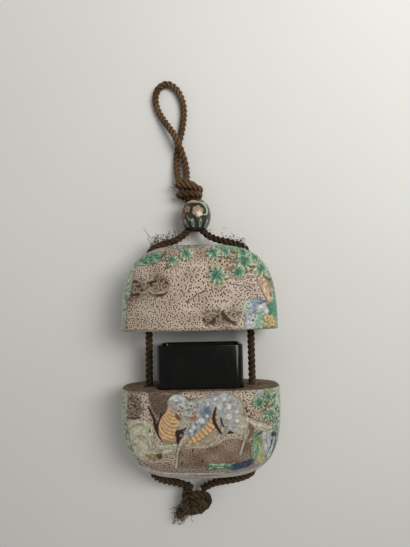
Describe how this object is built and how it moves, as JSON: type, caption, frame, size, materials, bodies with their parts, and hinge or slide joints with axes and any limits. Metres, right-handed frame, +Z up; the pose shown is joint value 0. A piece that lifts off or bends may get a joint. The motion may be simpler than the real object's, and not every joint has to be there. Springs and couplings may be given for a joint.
{
  "type": "inro case",
  "caption": "Small enamelled porcelain inro, its lid slid up a doubled cord to show a black inner box, with a bead, a loop and a frayed knot.",
  "frame": {"origin": "centre of the underside of the case (lid, lower case and inner box together), at the surface that it lies on", "axes": "+X across the case to the right as its decorated front is seen, +Y from the foot towards the cord's loop, +Z up, out of the decorated front"},
  "size_m": [0.0626, 0.1889, 0.0301],
  "materials": {
    "enamelled_porcelain": "coloured enamels fired over a glazed, carved body, bare brown clay on the rims",
    "black_lacquer": "black lacquer, polished and a little worn",
    "bead_enamel": "dark glaze with painted flowers",
    "silk_cord": "three-strand twisted cord, faded and frayed"
  },
  "bodies": {
    "root": {"lid": "enamelled_porcelain", "lower_case": "enamelled_porcelain", "inner_box": "black_lacquer", "bead": "bead_enamel", "upper_knot": "silk_cord", "lower_knot": "silk_cord", "left_cord": "silk_cord", "right_cord": "silk_cord", "cord_loop": "silk_cord"}
  },
  "joints": []
}
